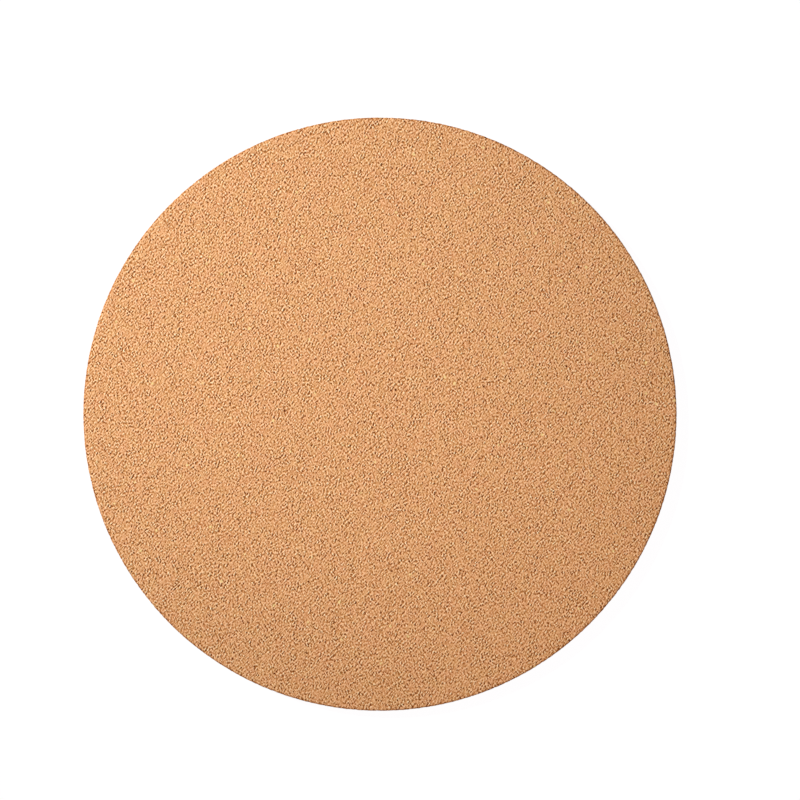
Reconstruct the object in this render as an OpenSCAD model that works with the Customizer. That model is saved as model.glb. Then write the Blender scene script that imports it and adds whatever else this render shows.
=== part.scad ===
// Round trivet: one flat disc die-cut from a sheet of fine-grained agglomerated cork.
// The sheet is cork granules pressed and bonded into a block, then sliced and sanded, so the
// disc is a single solid piece. Its two faces are flat, and its edge is eased all round.
// Origin at the centre of the underside, +Z up through the thickness.

/* [Disc] */
// Diameter across the disc
disc_d = 200; // [80:1:300]
// Thickness of the cork sheet that the disc is cut from
sheet_t = 5; // [3:0.5:12]

/* [Edge] */
// Radius that eases the corner between the top face and the cut edge
top_ease_r = 0.6; // [0.2:0.1:1.4]
// Radius that eases the corner between the underside and the cut edge
under_ease_r = 0.6; // [0.2:0.1:1.4]

/* [Hidden] */
$fn = 96;
// Colour of natural cork
cork_rgb = [0.84, 0.62, 0.43];
// Radius of the cut edge
disc_r = disc_d / 2;
// Height at which the round of the top corner starts
top_ease_z = sheet_t - top_ease_r;

// Half of the disc's section, from the axis out to the cut edge.
// Two overlapping slabs fill it, and a circle in each outer corner rounds the slab ends.
module disc_section() {
    // Full thickness, out to where each corner starts to turn
    polygon([
        [0, 0],
        [disc_r - under_ease_r, 0],
        [disc_r - under_ease_r, under_ease_r],
        [disc_r - top_ease_r, top_ease_z],
        [disc_r - top_ease_r, sheet_t],
        [0, sheet_t]
    ]);
    // Full radius, between the two rounds
    translate([0, under_ease_r])
        square([disc_r, top_ease_z - under_ease_r]);
    translate([disc_r - under_ease_r, under_ease_r])
        circle(r = under_ease_r);
    translate([disc_r - top_ease_r, top_ease_z])
        circle(r = top_ease_r);
}

// The disc itself, the section turned about the vertical axis
module cork_disc() {
    color(cork_rgb)
        rotate_extrude()
            disc_section();
}

cork_disc();
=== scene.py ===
# %% [markdown]
# # A round trivet of pressed cork
#
# The object is one flat disc, cut with a die from a sheet of agglomerated cork: granules of bark
# about a millimetre across, pressed and glued into a block, then sliced and sanded. Nothing on it
# moves, and it has one piece. All of its character is in the granules, so this lesson is about
# making one block of granules and letting both the mesh and the material be cut from it.
#
# The first cell loads the measured model, which holds the disc's real size and place.

# %% Load the measured model
import math

import bpy
import numpy as np
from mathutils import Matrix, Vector
from mathutils.geometry import delaunay_2d_cdt


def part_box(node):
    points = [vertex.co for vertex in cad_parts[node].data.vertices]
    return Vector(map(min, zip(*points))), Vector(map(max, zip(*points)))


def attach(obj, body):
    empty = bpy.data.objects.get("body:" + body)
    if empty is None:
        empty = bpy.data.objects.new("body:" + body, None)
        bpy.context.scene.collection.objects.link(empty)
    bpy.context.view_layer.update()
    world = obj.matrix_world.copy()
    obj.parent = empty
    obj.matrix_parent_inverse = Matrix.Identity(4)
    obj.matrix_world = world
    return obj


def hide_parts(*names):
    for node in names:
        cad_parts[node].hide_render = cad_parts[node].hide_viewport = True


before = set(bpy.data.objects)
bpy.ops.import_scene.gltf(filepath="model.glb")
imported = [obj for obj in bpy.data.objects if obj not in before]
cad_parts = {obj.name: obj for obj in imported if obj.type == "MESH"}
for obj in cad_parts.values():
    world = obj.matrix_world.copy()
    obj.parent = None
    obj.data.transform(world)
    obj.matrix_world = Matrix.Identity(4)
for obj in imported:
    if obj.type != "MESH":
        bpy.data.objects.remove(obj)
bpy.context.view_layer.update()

# %% [markdown]
# ## Sizes
#
# Everything is in metres and in the frame of the measured model, with the origin at the centre of
# the underside. The disc's radius and thickness are read from its node, so the visible disc can't
# drift away from the measured one. A faceted circle reaches its full radius in only a few
# directions, so the smallest of the four reaches is the safe one.

# %% Read the disc's size
MM = 0.001
low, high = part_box("cork_disc")
edge_r = min(high.x, high.y, -low.x, -low.y)
sheet_t = high.z - low.z
ease_r = 0.6 * MM
print("disc radius", round(edge_r / MM, 3), "mm, thickness", round(sheet_t / MM, 3), "mm")

# %% [markdown]
# ## One block of granules
#
# A pressed block is full of granules that touch on all sides. A Voronoi pattern is the usual model
# of that: scatter one seed in each cell of a grid, and give every point to its nearest seed.
# Blender's Voronoi Texture node does this in the material. The mesh needs the same granules, so
# that the hole a torn granule leaves lies where the material shows the tear. The node finds its
# seeds with a published integer hash, which a few lines of numpy repeat for whole arrays at once.
# The granules' own size is 1.15 mm, about the finest that is pressed into table mats.

# %% Repeat the Voronoi node's random numbers


def turn_bits(x, k):
    """The bits of x moved k places to the left, with those that fall off put back on the right."""
    return (x << np.uint32(k)) | (x >> np.uint32(32 - k))


def stir(a, b, c):
    """The mixing round of the hash, after which every bit of the three words matters."""
    for first, second, third in ((4, 6, 8), (16, 19, 4)):
        a = (a - c) ^ turn_bits(c, first)
        c = c + b
        b = (b - a) ^ turn_bits(a, second)
        a = a + c
        c = (c - b) ^ turn_bits(b, third)
        b = b + a
    return a, b, c


def settle(a, b, c):
    """The last round of the hash, which leaves one well mixed word."""
    c = (c ^ b) - turn_bits(b, 14)
    a = (a ^ c) - turn_bits(c, 11)
    b = (b ^ a) - turn_bits(a, 25)
    c = (c ^ b) - turn_bits(b, 16)
    a = (a ^ c) - turn_bits(c, 4)
    b = (b ^ a) - turn_bits(a, 14)
    return (c ^ b) - turn_bits(b, 24)


def start_word(count):
    """The number that the hash adds to each word, for this count of words."""
    return np.uint32((0xDEADBEEF + (count << 2) + 13) & 0xFFFFFFFF)


def cell_numbers(cells):
    """Three random numbers from 0 to 1 for each whole-numbered cell. They are the seed's place
    inside its cell, and also the red, green and blue that the node's Color output gives."""
    # Adding zero turns -0 into 0, because the two have different bits.
    words = (cells.astype(np.float32) + np.float32(0)).view(np.uint32)
    x, y, z = words[..., 0], words[..., 1], words[..., 2]
    three = start_word(3)
    four = start_word(4)
    numbers = [settle(x + three, y + three, z + three)]
    for extra in (1.0, 2.0):
        a, b, c = stir(x + four, y + four, z + four)
        numbers.append(settle(a + np.float32(extra).view(np.uint32), b, c))
    return np.stack(numbers, -1) / float(0xFFFFFFFF)


# %% [markdown]
# With the seeds known, a point's granule is the nearest of the seeds in the 27 cells round it. The
# second nearest matters too: where both are equally far, the point lies on the glue line.

# %% Find the granule at each point
granule = 1.15 * MM


def granules_at(points):
    """For each point: the distance to the nearest seed and to the second nearest, both in cell
    widths, and the nearest seed's cell."""
    places = points / granule
    home = np.floor(places)
    nearest = np.full(len(places), np.inf)
    second = nearest.copy()
    owner = np.zeros_like(home)
    steps = np.arange(-1, 2)
    for step in np.stack(np.meshgrid(steps, steps, steps), -1).reshape(-1, 3):
        cell = home + step
        away = np.linalg.norm(cell + cell_numbers(cell) - places, axis=1)
        closer = away < nearest
        second = np.where(closer, nearest, np.minimum(second, away))
        nearest = np.where(closer, away, nearest)
        owner[closer] = cell[closer]
    return nearest, second, owner


# %% [markdown]
# ## The sanded faces
#
# A slice through the block shows a granule wherever the plane passes nearest to its seed. So the
# seeds close to the plane are dropped onto it, and those that still own the spot where they land
# become vertices: the middle of each granule. The vertices stop short of the rim, because the
# outermost band of the disc is made with the cut edge.

# %% Find the granules that a plane cuts


def granules_on_plane(height, reach):
    """The places, as rows of x and y, where the granules cut by the plane at this height have
    their middles, out to the radius reach."""
    count = math.ceil(reach / granule)
    layer = math.floor(height / granule)
    across = np.arange(-count - 1, count + 2)
    layers = np.arange(layer - 1, layer + 2)
    cells = np.stack(np.meshgrid(across, across, layers, indexing="ij"), -1).reshape(-1, 3) * 1.0
    seeds = (cells + cell_numbers(cells)) * granule
    inside = np.hypot(seeds[:, 0], seeds[:, 1]) < reach
    seeds = seeds[inside]
    dropped = np.column_stack([seeds[:, :2], np.full(len(seeds), height)])
    owner = granules_at(dropped)[2]
    own = (owner == cells[inside]).all(axis=1)
    return dropped[own, :2]


rim_band = 1.6 * MM
rim_clearance = 0.4 * granule
face_reach = edge_r - rim_band - rim_clearance
top_middles = granules_on_plane(sheet_t, face_reach)
under_middles = granules_on_plane(0.0, face_reach)
print("granules cut by the top face", len(top_middles), "and by the underside", len(under_middles))

# %% [markdown]
# ## The relief
#
# Sanding leaves the granules almost level, but the softer ones are dished, the glue lines sit a
# little lower, and a few granules in a thousand have been torn out whole. The depth below the ideal
# surface depends only on the granules, so one function serves the faces and the cut edge alike. It
# looks at the distances to the nearest seeds, in cell widths, and gives a depth in metres.

# %% Depth of the surface below the ideal disc
torn_share = 0.008
line_width = 0.22
pore_start, pore_full = 0.5, 0.85
tear_start, tear_full = 0.02, 0.35
FACE_RELIEF = dict(dished=0.05 * MM, glue=0.03 * MM, pore=0.16 * MM, tear=0.20 * MM)
EDGE_RELIEF = dict(dished=0.07 * MM, glue=0.04 * MM, pore=0.07 * MM, tear=0.35 * MM)


def smooth_step(x, start, end):
    """0 before start, 1 after end, and a smooth S between them."""
    t = np.clip((x - start) / (end - start), 0, 1)
    return t * t * (3 - 2 * t)


def relief(points, dished, glue, pore, tear):
    """Depth in metres at each point: dished times the square of the granule's own random number,
    plus glue where two granules meet, plus pore where every seed is far away, plus tear in the
    torn-out granules. The result never lifts a point above the ideal surface."""
    nearest, second, owner = granules_at(points)
    numbers = cell_numbers(owner)
    from_line = second - nearest
    on_line = 1 - smooth_step(from_line, 0.0, line_width)
    far = smooth_step(nearest, pore_start, pore_full)
    missing = (numbers[:, 1] > 1 - torn_share) * smooth_step(from_line, tear_start, tear_full)
    return dished * numbers[:, 2] ** 2 + glue * on_line + pore * far + tear * missing


# %% [markdown]
# ## The cut edge
#
# The die leaves a straight wall, and handling eases its two corners. The section is a path: out
# along the top face, round the top corner, down the wall, round the lower corner and in along the
# underside. Each row of the path holds a radius, a height and the direction that faces outward.

# %% Make the edge's section
section_step = 0.42 * MM


def section_path():
    """Rows of radius, height, and the outward direction's radial and vertical parts. The corners
    are quarter circles: the radius follows the sine of the angle and the height its cosine."""
    flat = rim_band - ease_r
    corner = math.pi / 2 * ease_r
    wall = sheet_t - 2 * ease_r
    counts = [max(round(length / section_step), 1) for length in (flat, corner, wall, corner, flat)]
    out_top, top, down, under, in_under = [np.arange(count) / count for count in counts]
    inner = edge_r - rim_band
    centre = edge_r - ease_r
    a = top * math.pi / 2
    b = under * math.pi / 2
    same = np.ones_like
    parts = [
        (inner + out_top * flat, same(out_top) * sheet_t, 0 * out_top, same(out_top)),
        (centre + ease_r * np.sin(a), sheet_t - ease_r + ease_r * np.cos(a), np.sin(a), np.cos(a)),
        (same(down) * edge_r, sheet_t - ease_r - down * wall, same(down), 0 * down),
        (centre + ease_r * np.cos(b), ease_r - ease_r * np.sin(b), np.cos(b), -np.sin(b)),
        (centre - in_under * flat, 0 * in_under, 0 * in_under, -same(in_under)),
        (np.array([inner]), np.zeros(1), np.zeros(1), -np.ones(1)),
    ]
    return np.vstack([np.column_stack(part) for part in parts]), counts


path, path_counts = section_path()
rows = len(path)
print("the section has", rows, "rows, split as", path_counts)

# %% [markdown]
# Carried round the axis, the section makes a band: a grid of rows by turns. The grid is fine
# enough for the torn granules to break the outline, as they do on a real die-cut edge. The first
# and last rows border the faces, so their relief is made shallow.

# %% Carry the section round the axis
turns = 1800
border_share = 0.3
angle = np.arange(turns) / turns * 2 * math.pi
outward = np.stack([np.cos(angle), np.sin(angle)], -1)


def carried_round(radial, vertical):
    """A grid of vectors, rows by turns: each row's radial part points outward at every turn, and
    its vertical part stays the same."""
    ring = radial[:, None, None] * outward[None, :, :]
    upright = np.broadcast_to(vertical[:, None, None], ring.shape[:2] + (1,))
    return np.concatenate([ring, upright], -1)


ideal_band = carried_round(path[:, 0], path[:, 1])
facing = carried_round(path[:, 2], path[:, 3])
depth = relief(ideal_band.reshape(-1, 3), **EDGE_RELIEF).reshape(rows, turns)
depth[[0, -1]] *= border_share
band = ideal_band - facing * depth[..., None]
print("deepest place in the edge", round(depth.max() / MM, 2), "mm")

# %% [markdown]
# ## Joining the faces to the edge
#
# Granules lie at random, so no regular grid can follow them. Delaunay triangulation joins each
# vertex to its natural neighbours instead. The band's border ring goes into the same call as the
# granule middles, so the face shares its vertices and no gap is left between the two.

# %% Triangulate the faces
same_point = 1e-9


def triangulate(ring, middles):
    """Delaunay triangles over a ring of points and the granule middles inside it, as rows of
    three indices that count the ring first, all turned to face up."""
    flat = np.vstack([ring, middles])
    faces, sources = delaunay_2d_cdt(flat.tolist(), [], [], 0, same_point)[2:4]
    source = np.array([given[0] for given in sources])
    triangles = source[np.array(faces)]
    a, b, c = (flat[triangles[:, k]] for k in range(3))
    facing_up = np.cross(b - a, c - a) > 0
    return np.where(facing_up[:, None], triangles, triangles[:, ::-1])


def face_skin(ring, middles, height, side):
    """One sanded face: its own vertices, lowered by the relief, and its triangles. side is 1 for
    the top face and -1 for the underside, whose triangles are turned over."""
    triangles = triangulate(ring[:, :2], middles)
    points = np.column_stack([middles, np.full(len(middles), height)])
    points[:, 2] -= side * relief(points, **FACE_RELIEF)
    return points, triangles if side > 0 else triangles[:, ::-1]


top_points, top_triangles = face_skin(band[0], top_middles, sheet_t, 1)
under_points, under_triangles = face_skin(band[-1], under_middles, 0.0, -1)
print("triangles in the faces", len(top_triangles), "and", len(under_triangles))

# %% [markdown]
# The whole skin is now three sets of vertices: the band, the top face and the underside. The
# faces' indices are moved along to match, and the band's grid becomes quads that close up on
# themselves after a full turn.

# %% Number the vertices of the whole skin
first_top = rows * turns
first_under = first_top + len(top_points)
last_ring = (rows - 1) * turns
top_triangles = np.where(top_triangles < turns, top_triangles, top_triangles - turns + first_top)
under_triangles = np.where(
    under_triangles < turns, under_triangles + last_ring, under_triangles - turns + first_under
)
grid = np.arange(rows * turns).reshape(rows, turns)
beside = np.roll(grid, -1, axis=1)
quads = np.stack([grid[:-1], grid[1:], beside[1:], beside[:-1]], -1).reshape(-1, 4)
skin_points = np.vstack([band.reshape(-1, 3), top_points, under_points])
print("vertices", len(skin_points))

# %% [markdown]
# ## Room for baked textures
#
# Engines that can't run these nodes need them baked into pictures, and a UV map says which part of
# the picture each face gets. The top face is seen most, so it gets the largest disc, and the
# underside gets a smaller one in the opposite corner. The edge is unrolled, cut into three strips
# and laid along the bottom. Places on the map run from 0 to 1.

# %% Lay out the UV map
strips = 3
strip_turns = turns // strips
strip_left, strip_width = 0.01, 0.98
strip_bottom = 0.004
strip_pitch, strip_height = 0.040, 0.034
top_spot, top_reach = (0.352, 0.648), 0.350
under_spot, under_reach = (0.803, 0.320), 0.195


def edge_uv():
    """Corners of the band's quads on the map: along a strip by turn, and up it by the distance
    gone round the section."""
    lengths = np.hypot(np.diff(path[:, 0]), np.diff(path[:, 1]))
    up_share = np.concatenate([[0], np.cumsum(lengths)]) / lengths.sum()
    turn = np.arange(turns)
    left = strip_left + strip_width * (turn % strip_turns) / strip_turns
    right = left + strip_width / strip_turns
    bottom = strip_bottom + strip_pitch * (turn // strip_turns)
    low_side, high_side = up_share[:-1], up_share[1:]
    rise = strip_height * np.stack([low_side, high_side, high_side, low_side], -1)
    u = np.broadcast_to(np.stack([left, left, right, right], -1), (rows - 1, turns, 4))
    v = bottom[None, :, None] + rise[:, None, :]
    return np.stack([u, v], -1).reshape(-1, 2)


def face_uv(triangles, spot, reach, side):
    """Corners of a face's triangles on the map: the face as seen from outside, shrunk to a disc
    of radius reach about spot."""
    places = skin_points[triangles.ravel(), :2] / edge_r * reach
    return np.array(spot) + places * np.array([side, 1])


uv = np.vstack([
    edge_uv(),
    face_uv(top_triangles, top_spot, top_reach, 1),
    face_uv(under_triangles, under_spot, under_reach, -1),
])
print("corners on the map", len(uv), "between", uv.min().round(3), "and", uv.max().round(3))

# %% [markdown]
# Blender takes a mesh of mixed quads and triangles as flat arrays: all corners in a row, and where
# each polygon starts. Handing the arrays over whole is far quicker than adding faces one by one.

# %% Build the closed disc
corners = np.concatenate([quads.ravel(), top_triangles.ravel(), under_triangles.ravel()])
sides = np.full(len(quads) + len(top_triangles) + len(under_triangles), 3)
sides[:len(quads)] = 4
starts = np.concatenate([[0], np.cumsum(sides)[:-1]])

skin = bpy.data.meshes.new("cork_trivet")
skin.vertices.add(len(skin_points))
skin.vertices.foreach_set("co", skin_points.astype(np.float32).ravel())
skin.loops.add(len(corners))
skin.loops.foreach_set("vertex_index", corners.astype(np.int32))
skin.polygons.add(len(sides))
skin.polygons.foreach_set("loop_start", starts.astype(np.int32))
skin.polygons.foreach_set("use_smooth", np.ones(len(sides), bool))
skin.update(calc_edges=True)
skin.uv_layers.new(name="OFBake").uv.foreach_set("vector", uv.astype(np.float32).ravel())
print("the mesh needed mending:", skin.validate())

disc = bpy.data.objects.new("cork_trivet", skin)
bpy.context.scene.collection.objects.link(disc)
print("triangles", int((sides - 2).sum()))

# %% [markdown]
# ## Helpers for materials
#
# Colours are easiest to choose as the 0 to 255 values seen on screen, but nodes work in linear
# light, so one helper converts them. The rest are short ways to add a node and join its inputs,
# which keep the material's own code close to how it would be described aloud.

# %% Helpers for colours and nodes


def srgb(red, green, blue):
    """A colour given as 0 to 255 screen values, as the linear colour that nodes work in."""
    shares = [value / 255 for value in (red, green, blue)]
    linear = [s / 12.92 if s <= 0.04045 else ((s + 0.055) / 1.055) ** 2.4 for s in shares]
    return (*linear, 1.0)


class Nodes:
    """Adds nodes to one node tree and joins them."""

    def __init__(self, tree):
        self.tree = tree

    def put(self, target, value):
        """Links an input to an output, or sets it to a plain number, vector or colour."""
        if isinstance(value, bpy.types.NodeSocket):
            self.tree.links.new(value, target)
        else:
            target.default_value = value

    def add(self, kind, settings=None, **inputs):
        """A new node with its settings and its named inputs; an underscore stands for a space."""
        node = self.tree.nodes.new(kind)
        for key, value in (settings or {}).items():
            setattr(node, key, value)
        for key, value in inputs.items():
            self.put(node.inputs[key.replace("_", " ")], value)
        return node

    def math(self, operation, first, second, clamp=False):
        """One step of arithmetic on two numbers."""
        node = self.add("ShaderNodeMath", {"operation": operation, "use_clamp": clamp})
        self.put(node.inputs[0], first)
        self.put(node.inputs[1], second)
        return node.outputs[0]

    def total(self, *values, clamp=False):
        """The sum of several numbers, kept within 0 to 1 at the end if asked."""
        result = values[0]
        for index, value in enumerate(values[1:], 2):
            result = self.math("ADD", result, value, clamp=clamp and index == len(values))
        return result

    def vector(self, operation, first, second=(0.0, 0.0, 0.0)):
        """One step of arithmetic on vectors."""
        node = self.add("ShaderNodeVectorMath", {"operation": operation})
        self.put(node.inputs[0], first)
        self.put(node.inputs[1], second)
        return node.outputs[0]

    def scaled(self, vector, factor):
        """A vector made longer or shorter by a factor."""
        node = self.add("ShaderNodeVectorMath", {"operation": "SCALE"}, Scale=factor)
        self.put(node.inputs[0], vector)
        return node.outputs[0]

    def fade(self, value, start, end, from_value=0.0, to_value=1.0):
        """from_value before start, to_value after end, and a smooth S between them."""
        node = self.add(
            "ShaderNodeMapRange", {"interpolation_type": "SMOOTHSTEP"}, Value=value,
            From_Min=start, From_Max=end, To_Min=from_value, To_Max=to_value,
        )
        return node.outputs["Result"]

    def ramp(self, value, stops):
        """A colour picked from a row of (place, colour) stops."""
        node = self.add("ShaderNodeValToRGB", Fac=value)
        elements = node.color_ramp.elements
        while len(elements) < len(stops):
            elements.new(0.5)
        for element, (place, colour) in zip(elements, stops):
            element.position = place
            element.color = colour
        return node.outputs[0]


# %% [markdown]
# ## The material, part one: granules
#
# Up close, pressed cork is a patchwork: each granule has its own lightness, thin glue lines run
# between granules, and here and there one has been torn out and left a hole, whose darkness is
# painted shade. A few more are straw-coloured, because they come from a paler layer of the bark. A
# photograph of cork could be wrapped round the disc, but it would smear down the edge. A solid
# pattern can't, because every point of the surface simply shows the part of the block that it cuts
# through.
#
# The Voronoi node gives each granule its random numbers, and its distance-to-edge form gives the
# glue lines. The coordinates are first pushed about by a soft noise, because cut bark has crooked
# outlines, while plain Voronoi cells have straight ones.

# %% Granules, glue lines and tears
bend = 0.5 * MM
bend_size = 1.2 * MM
glue_width = 0.12 * MM
tear_core, tear_rim = 0.16 * MM, 0.44 * MM
straw_core, straw_rim = 0.30 * MM, 0.65 * MM
straw_share = 0.006


def crooked(n, place):
    """The coordinates plus a soft noise, which moves each point by up to half of bend."""
    noise = n.add("ShaderNodeTexNoise", Vector=place, Scale=1 / bend_size, Detail=1.0)
    push = n.vector("SUBTRACT", noise.outputs["Color"], (0.5, 0.5, 0.5))
    return n.vector("ADD", place, n.scaled(push, bend))


def add_granules(n, given):
    """Each granule's three random numbers, how near a point is to a glue line, how deep it is in a
    tear, and how far inside a straw-coloured granule. A granule is torn if its second random number
    is in the top Torn Share of them, and straw-coloured if it is in the bottom straw_share."""
    bent = crooked(n, given["Vector"])
    size = given["Granule Size"]
    per_granule = n.math("DIVIDE", 1.0, size)
    cells = n.add("ShaderNodeTexVoronoi", Vector=bent, Scale=per_granule)
    edges = n.add("ShaderNodeTexVoronoi", {"feature": "DISTANCE_TO_EDGE"},
                  Vector=bent, Scale=per_granule)
    random = n.add("ShaderNodeSeparateColor", Color=cells.outputs["Color"]).outputs
    glue = n.fade(n.math("MULTIPLY", edges.outputs["Distance"], size), 0.0, glue_width, 1.0, 0.0)
    torn = n.math("GREATER_THAN", random["Green"], n.math("SUBTRACT", 1.0, given["Torn Share"]))
    from_middle = n.math("MULTIPLY", cells.outputs["Distance"], size)
    tear = n.math("MULTIPLY", torn, n.fade(from_middle, tear_core, tear_rim, 1.0, 0.0))
    pale = n.math("LESS_THAN", random["Green"], straw_share)
    straw = n.math("MULTIPLY", pale, n.fade(from_middle, straw_core, straw_rim, 1.0, 0.0))
    return random, glue, tear, straw


# %% [markdown]
# ## The material, part two: crumbs
#
# Each granule is itself crumbly, and the crumbs are what the light picks out as fine ripples. They
# are far too small to model: a vertex for each would need millions of them. A noise makes their
# height instead, and the bump node shades it. The belt that sands the sheet drags the crumbs along
# with it, so they are longer in that direction, which runs at 80 degrees here.
#
# The colour also holds painted shade and painted light: each hollow is painted darker, for the
# shade that falls in it, and each ridge lighter, for the light that it catches. To find them, the
# height at a point is compared with the mean of four places beside it on the surface: higher than
# its neighbours is a ridge, and lower is a hollow.

# %% Crumbs and hollows
crumb = 0.57 * MM
crumb_stretch = 1.4
sanding_bearing = math.radians(80)
askew = (0.6, 0.4, 0.9)
hollow_reach = 0.45 * MM


def in_crumb_frame(n, vector):
    """A vector turned so that the sanding direction is X, squeezed along it, and then turned askew,
    so that the noise's own grid lines up with neither the faces nor the edge."""
    along_belt = n.add("ShaderNodeVectorRotate", {"rotation_type": "Z_AXIS"},
                       Vector=vector, Angle=-sanding_bearing)
    squeezed = n.add("ShaderNodeMapping", {"vector_type": "POINT"}, Vector=along_belt.outputs[0],
                     Scale=(1 / crumb_stretch, 1.0, 1.0), Rotation=askew)
    return squeezed.outputs[0]


def crumbs_at(n, place):
    """The crumbs' height, from 0 to 1 with its middle at 0.5, at a place in the crumbs' frame."""
    noise = n.add("ShaderNodeTexNoise", Vector=place, Scale=1 / crumb, Detail=1.0)
    return noise.outputs["Fac"]


def add_crumbs(n, given):
    """The crumbs' height about zero, and how far each point stands above the mean of the places
    at hollow_reach from it, to both sides of it along the two surface directions."""
    place = in_crumb_frame(n, given["Vector"])
    here = crumbs_at(n, place)
    beside = []
    for direction in (given["Along"], given["Across"]):
        reach = in_crumb_frame(n, n.scaled(direction, hollow_reach))
        beside.append(crumbs_at(n, n.vector("ADD", place, reach)))
        beside.append(crumbs_at(n, n.vector("SUBTRACT", place, reach)))
    mean = n.math("MULTIPLY", n.total(*beside), 1 / len(beside))
    return n.math("SUBTRACT", here, 0.5), n.math("SUBTRACT", here, mean)


# %% [markdown]
# ## The material, part three: from tone to colour
#
# Everything that makes a spot lighter or darker adds up to one number, its tone, and a ramp turns
# the tone into cork. Each stop is a colour as it looks on the screen, from the brown of a deep
# hollow to the straw of a ridge; that brown is partly painted shade and that straw partly painted
# light. Blue falls off fastest on the way down, which keeps the dark spots warm: this paints in the
# warm light that leaves a hollow after bouncing off cork more than once.
#
# The few straw-coloured granules are mixed in after that. The bark also differs a little in hue
# from one patch to the next, so the hue drifts slowly.

# %% Colours of cork
CORK_COLOURS = [
    (0.00, srgb(106, 40, 0)),
    (0.16, srgb(150, 82, 14)),
    (0.33, srgb(193, 127, 71)),
    (0.50, srgb(227, 169, 118)),
    (0.66, srgb(252, 198, 150)),
    (0.83, srgb(255, 219, 173)),
    (1.00, srgb(255, 236, 195)),
]
STRAW = srgb(245, 215, 146)
straw_strength = 0.75
patch_size = 3.2 * MM


def straw_coloured(n, colour, straw):
    """The colour, turned to straw as far as the point is inside a straw-coloured granule."""
    mix = n.add("ShaderNodeMix", {"data_type": "RGBA"})
    factor, first, second = mix.inputs[0], mix.inputs[6], mix.inputs[7]
    n.put(factor, n.math("MULTIPLY", straw, straw_strength))
    n.put(first, colour)
    n.put(second, STRAW)
    return mix.outputs[2]


def patchy(n, colour, place, amount):
    """The colour with its hue moved by a slow noise, by up to half of amount either way."""
    drift = n.add("ShaderNodeTexNoise", Vector=place, Scale=1 / patch_size, Detail=1.0)
    about_zero = n.math("SUBTRACT", drift.outputs["Fac"], 0.5)
    hue = n.math("ADD", n.math("MULTIPLY", about_zero, amount), 0.5)
    return n.add("ShaderNodeHueSaturation", Color=colour, Hue=hue).outputs[0]


# %% [markdown]
# ## The material, part four: one group for every finish
#
# The sanded faces, the cut wall and the pressed corners are the same cork worked in different
# ways. So the pattern is one node group, built once, and each finish places it with values of its
# own. The group puts out a colour and a height in metres.

# %% Build the shared group
VECTOR_INPUTS = ("Vector", "Along", "Across")
NUMBER_INPUTS = ("Granule Size", "Middle Tone", "Granule Tones", "Hollow Tones", "Glue Darkness",
                 "Torn Share", "Crumb Depth", "Hue Drift")
glue_depth = 0.2 * MM
tear_depth = 0.25 * MM
# Painted shade in the tear holes, as a share of the tone.
painted_tear_shade = 0.6
# Painted shade and light: lower crumbs are painted darker and higher ones lighter, by this share of
# their height.
painted_crumb_shade_and_light = 0.12
least_crumbly, crumbly_range = 0.45, 1.1


def cork_tone(n, given, random, glue, tear, height, ridge, crumbly):
    """The sum of the middle tone, the granule's own tone, painted light on each ridge less painted
    shade in each hollow, a little of the crumbs' height as painted shade and light, minus the glue
    lines and the painted shade in the tears, kept from 0 to 1."""
    own = n.math("MULTIPLY", n.math("SUBTRACT", random["Red"], 0.5), given["Granule Tones"])
    # Painted shade and painted light: hollows of the crumbs are painted darker and ridges lighter.
    hollows = n.math("MULTIPLY", n.math("MULTIPLY", ridge, given["Hollow Tones"]), crumbly)
    # Painted shade and light from the crumbs' height: low crumbs darker, high crumbs lighter.
    crumbs = n.math("MULTIPLY", height, painted_crumb_shade_and_light)
    lines = n.math("MULTIPLY", glue, n.math("MULTIPLY", given["Glue Darkness"], -1.0))
    # Painted shade: the tears are painted darker, for the shade inside the holes.
    tears = n.math("MULTIPLY", tear, -painted_tear_shade)
    return n.total(own, hollows, crumbs, lines, tears, given["Middle Tone"], clamp=True)


def pressed_cork_group():
    """Colour and height of pressed cork at a point of the block. A granule's third random number
    sets how crumbly it is, from about half of the usual to half as much again."""
    tree = bpy.data.node_groups.new("Pressed cork", "ShaderNodeTree")
    for name in VECTOR_INPUTS:
        tree.interface.new_socket(name, in_out="INPUT", socket_type="NodeSocketVector")
    for name in NUMBER_INPUTS:
        tree.interface.new_socket(name, in_out="INPUT", socket_type="NodeSocketFloat")
    tree.interface.new_socket("Color", in_out="OUTPUT", socket_type="NodeSocketColor")
    tree.interface.new_socket("Height", in_out="OUTPUT", socket_type="NodeSocketFloat")
    n = Nodes(tree)
    given = tree.nodes.new("NodeGroupInput").outputs
    result = tree.nodes.new("NodeGroupOutput").inputs
    random, glue, tear, straw = add_granules(n, given)
    height, ridge = add_crumbs(n, given)
    crumbly = n.math("ADD", n.math("MULTIPLY", random["Blue"], crumbly_range), least_crumbly)
    tone = cork_tone(n, given, random, glue, tear, height, ridge, crumbly)
    colour = straw_coloured(n, n.ramp(tone, CORK_COLOURS), straw)
    n.put(result["Color"], patchy(n, colour, given["Vector"], given["Hue Drift"]))
    crumbs = n.math("MULTIPLY", n.math("MULTIPLY", height, given["Crumb Depth"]), crumbly)
    lines = n.math("MULTIPLY", n.math("MULTIPLY", glue, given["Glue Darkness"]), -glue_depth)
    n.put(result["Height"], n.total(crumbs, lines, n.math("MULTIPLY", tear, -tear_depth)))
    return tree


PRESSED_CORK = pressed_cork_group()
print("nodes in the group", len(PRESSED_CORK.nodes))

# %% [markdown]
# ## Three finishes
#
# All three are matte, as unsealed cork is, and only a little light comes back as gloss. The bump
# node has a distance of one, so a tenth of a millimetre in the group is a tenth on the surface.
#
# The group looks for hollows along two directions that lie in the surface. On the faces these are X
# and Y. On the edge they are straight up and round the axis, and the cross product of up with the
# position gives the second.

# %% Make a cork material
cork_roughness = 0.8
cork_gloss = 0.2


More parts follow.
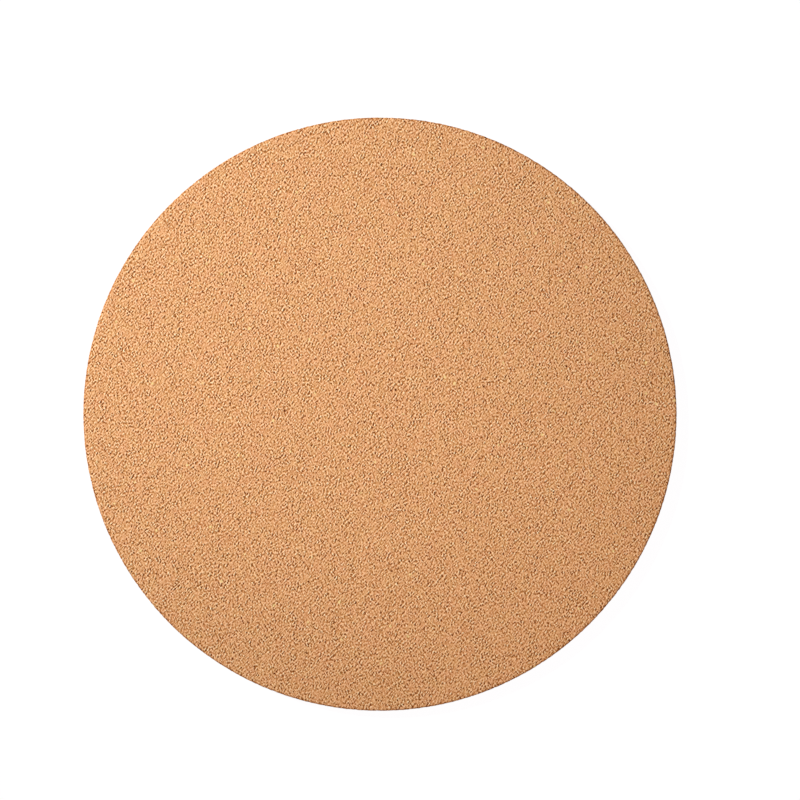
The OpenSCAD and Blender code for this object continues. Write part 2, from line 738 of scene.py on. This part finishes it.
def cork_finish(name, edge=False, **settings):
    """A cork material, with the group's inputs given by name."""
    material = bpy.data.materials.new(name)
    material.use_nodes = True
    n = Nodes(material.node_tree)
    shader = n.tree.nodes["Principled BSDF"]
    cork = n.add("ShaderNodeGroup", {"node_tree": PRESSED_CORK}, **settings)
    place = n.add("ShaderNodeTexCoord").outputs["Object"]
    n.put(cork.inputs["Vector"], place)
    along, across = (1.0, 0.0, 0.0), (0.0, 1.0, 0.0)
    if edge:
        along = (0.0, 0.0, 1.0)
        across = n.vector("NORMALIZE", n.vector("CROSS_PRODUCT", along, place))
    n.put(cork.inputs["Along"], along)
    n.put(cork.inputs["Across"], across)
    bump = n.add("ShaderNodeBump", Height=cork.outputs["Height"], Distance=1.0, Strength=1.0)
    n.put(shader.inputs["Base Color"], cork.outputs["Color"])
    n.put(shader.inputs["Normal"], bump.outputs["Normal"])
    shader.inputs["Roughness"].default_value = cork_roughness
    shader.inputs["Specular IOR Level"].default_value = cork_gloss
    return material


# %% [markdown]
# Sanding evens out the granules, so on the faces they hardly differ in tone, and it is the crumbs
# that show. The die shears through granules and glue without smoothing them, so on the wall every
# granule stands out from the next. The corners are darkened into a thin line round the disc: partly
# cork that the die's pressure and later handling have closed and worn, and partly painted shade,
# which stands in for the shade at the edge and keeps the eased corner on the lamp's side from
# catching a bright line.

# %% Sanded, die-cut and pressed cork
sanded = cork_finish(
    "sanded_cork", Granule_Size=granule, Middle_Tone=0.475, Granule_Tones=0.055,
    Hollow_Tones=1.54, Glue_Darkness=0.10, Torn_Share=torn_share, Crumb_Depth=0.50 * MM,
    Hue_Drift=0.014,
)
die_cut = cork_finish(
    "die_cut_cork", edge=True, Granule_Size=granule, Middle_Tone=0.46, Granule_Tones=0.24,
    Hollow_Tones=0.9, Glue_Darkness=0.24, Torn_Share=0.03, Crumb_Depth=0.38 * MM,
    Hue_Drift=0.015,
)
# Partly wear and partly painted shade: the corners' low middle tone makes a thin dark line round
# the disc.
pressed = cork_finish(
    "corner_cork_worn_and_painted_shade", edge=True, Granule_Size=granule, Middle_Tone=0.37, Granule_Tones=0.12,
    Hollow_Tones=1.0, Glue_Darkness=0.20, Torn_Share=0.05, Crumb_Depth=0.40 * MM,
    Hue_Drift=0.010,
)
for material in (sanded, die_cut, pressed):
    skin.materials.append(material)
print("finishes", [material.name for material in skin.materials])

# %% [markdown]
# The mesh keeps one number per face that says which finish it has. The band was made row by row,
# from the flat rows through the two corners and the wall, so each row's number is known. The faces
# that come after the band are sanded, which is finish 0.

# %% Give each row of the edge its finish
SANDED, DIE_CUT, PRESSED = range(3)
finish_of_row = np.repeat([SANDED, PRESSED, DIE_CUT, PRESSED, SANDED], path_counts)
finish_of_face = np.full(len(sides), SANDED, np.int32)
finish_of_face[:len(quads)] = np.repeat(finish_of_row, turns)
skin.polygons.foreach_set("material_index", finish_of_face)
print("faces with each finish", np.bincount(finish_of_face))

# %% [markdown]
# ## Hand the disc over
#
# The finished disc rides on the object's one body and stands in for the measured disc, which stays
# in the motion model for collisions.

# %% Put the disc in the measured one's place
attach(disc, "root")
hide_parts("cork_disc")
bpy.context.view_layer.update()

# %% [markdown]
# ## The floor
#
# The disc lies on white paper. A white that is lit can't be quite white and still leave room for a
# shadow, and more light would bleach the cork. So the paper is two things at once. For the light
# that bounces about, it is plain matte white, which lights the cut edge from below as real paper
# does. For the camera it is mostly a glow, with a small matte share that still darkens in the
# disc's shadow. The Light Path node tells the two apart, and its mirror and glass rays count as the
# camera's.

# %% White paper
floor_half = 3.0
paper_drop = 0.02 * MM
corners_of_paper = [(-floor_half, -floor_half, 0.0), (floor_half, -floor_half, 0.0),
                    (floor_half, floor_half, 0.0), (-floor_half, floor_half, 0.0)]
paper_mesh = bpy.data.meshes.new("paper")
paper_mesh.from_pydata(corners_of_paper, [], [(0, 1, 2, 3)])
paper = bpy.data.objects.new("paper", paper_mesh)
paper.location.z = -paper_drop
bpy.context.scene.collection.objects.link(paper)


def seen_directly(n):
    """1 for rays that come from the camera or by way of a mirror or glass, 0 for the rest."""
    ray = n.add("ShaderNodeLightPath").outputs
    mirrored = n.math("MAXIMUM", ray["Is Glossy Ray"], ray["Is Transmission Ray"])
    return n.math("MAXIMUM", ray["Is Camera Ray"], mirrored)


# %% [markdown]
# The glow is a little stronger than white, so that glow and matte together come to white in full
# light. In the shadow the matte share is missing, and the paper there is a few shades darker.

# %% Paint the paper
paper_grey = (0.85, 0.85, 0.85, 1.0)
glow_colour = (1.0, 0.992, 1.0, 1.0)
glow_share = 0.91
glow_strength = 1.065

white_paper = bpy.data.materials.new("white_paper")
white_paper.use_nodes = True
n = Nodes(white_paper.node_tree)
matte = n.tree.nodes["Principled BSDF"]
matte.inputs["Base Color"].default_value = paper_grey
matte.inputs["Roughness"].default_value = 1.0
matte.inputs["Specular IOR Level"].default_value = 0.0
glow = n.add("ShaderNodeEmission", Color=glow_colour, Strength=glow_strength)
blend = n.add("ShaderNodeMixShader")
n.put(blend.inputs[0], n.math("MULTIPLY", seen_directly(n), glow_share))
n.put(blend.inputs[1], matte.outputs[0])
n.put(blend.inputs[2], glow.outputs[0])
n.put(n.tree.nodes["Material Output"].inputs["Surface"], blend.outputs[0])
paper_mesh.materials.append(white_paper)
print("the paper glows", round(glow_share * glow_strength, 3), "of white by itself")

# %% [markdown]
# ## The light
#
# A plain studio has one soft main lamp and light from all round. The world gives the light from
# all round: three tenths of white for the cork, while the camera still sees it white.

# %% Light from all round
all_round = 0.30
world = bpy.data.worlds.new("studio")
bpy.context.scene.world = world
world.use_nodes = True
n = Nodes(world.node_tree)
background = n.tree.nodes["Background"]
background.inputs["Color"].default_value = (1.0, 1.0, 1.0, 1.0)
for_camera = n.math("MULTIPLY", seen_directly(n), 1.0 - all_round)
n.put(background.inputs["Strength"], n.math("ADD", for_camera, all_round))
print("light from all round", all_round)

# %% [markdown]
# The main lamp stands at the upper left of the picture. The face is brightest there and dims
# towards the lower right, and a spot lamp gives just that: its cone fades from the middle outward,
# and its middle is aimed at the bright part. Its light is a little cool, and it stands 43 degrees
# up. A lower lamp would bring out more ripples, but it would also bleach the cut edge on its own
# side.
#
# A lamp's power in watts says little by itself, so the helper works it out from the brightness
# that the lamp gives white paper facing it, which is 1 for white.

# %% Main lamp


def lamp_power(brightness, gap):
    """The power that makes white paper this bright when it faces the lamp from this far: the
    lamp's light spreads over a sphere, 4 pi times the gap squared, and paper scatters it over
    pi."""
    return 4 * math.pi ** 2 * gap ** 2 * brightness


bright_spot = Vector((-90 * MM, 76 * MM, sheet_t))
bearing = math.radians(148)
elevation = math.radians(43)
lamp_gap = 1.6
main_brightness = 1.395
cone_width = math.radians(17.2)
cool_white = (0.97, 1.0, 1.02)
toward_lamp = Vector((
    math.cos(elevation) * math.cos(bearing),
    math.cos(elevation) * math.sin(bearing),
    math.sin(elevation),
))
main_light = bpy.data.lights.new("main_lamp", "SPOT")
main_light.spot_size = cone_width
main_light.spot_blend = 1.0
main_light.shadow_soft_size = 0.05
main_light.color = cool_white
main_light.energy = lamp_power(main_brightness, lamp_gap)
main_lamp = bpy.data.objects.new("main_lamp", main_light)
main_lamp.location = bright_spot + toward_lamp * lamp_gap
main_lamp.rotation_mode = "QUATERNION"
main_lamp.rotation_quaternion = toward_lamp.to_track_quat("Z", "Y")
bpy.context.scene.collection.objects.link(main_lamp)
print("main lamp", round(main_light.energy, 1), "W")

# %% [markdown]
# On the far side the cork looks warmer, as if something tan stood there and sent some of the light
# back. A weak warm lamp near that side does the same, and it keeps the dark side of the cut edge
# from going grey. It is about a tenth as bright as the rest.

# %% Warm light from the lower right
warm_gap = 0.30
warm_brightness = 0.12
warm_tan = (1.0, 0.5, 0.2)
warm_place = (0.20, -0.20, 0.22)
warm_light = bpy.data.lights.new("warm_bounce", "POINT")
warm_light.color = warm_tan
warm_light.shadow_soft_size = 0.1
warm_light.energy = lamp_power(warm_brightness, warm_gap)
warm_lamp = bpy.data.objects.new("warm_bounce", warm_light)
warm_lamp.location = warm_place
warm_lamp.visible_camera = False
bpy.context.scene.collection.objects.link(warm_lamp)
print("warm lamp", round(warm_light.energy, 2), "W")

# %% [markdown]
# ## The camera
#
# The outline in the photograph is a true circle, so the camera looks straight down. How far away it
# stands follows from the disc's radius in pixels. The circle's centre isn't quite the centre of the
# picture, so the camera moves sideways by the difference. The outline is set by the widest part of
# the edge, just below the eased corner, so the height is measured from there.

# %% Camera
picture = 800
disc_pixels = 296.77
centre_x, centre_y = 379.45, 413.66
lens = 85.0
sensor = 36.0
pixel = edge_r / disc_pixels
widest_z = sheet_t - ease_r
middle = (picture - 1) / 2

camera_data = bpy.data.cameras.new("camera")
camera_data.lens = lens
camera_data.sensor_width = sensor
camera_data.clip_start = 0.01
camera = bpy.data.objects.new("camera", camera_data)
camera.location = (
    (middle - centre_x) * pixel,
    (centre_y - middle) * pixel,
    widest_z + picture * pixel * lens / sensor,
)
bpy.context.scene.collection.objects.link(camera)
bpy.context.scene.camera = camera
bpy.context.scene.view_settings.view_transform = "Standard"
print("the camera is", round(camera.location.z, 3), "m up")
print("a pixel is", round(pixel / MM, 3), "mm")
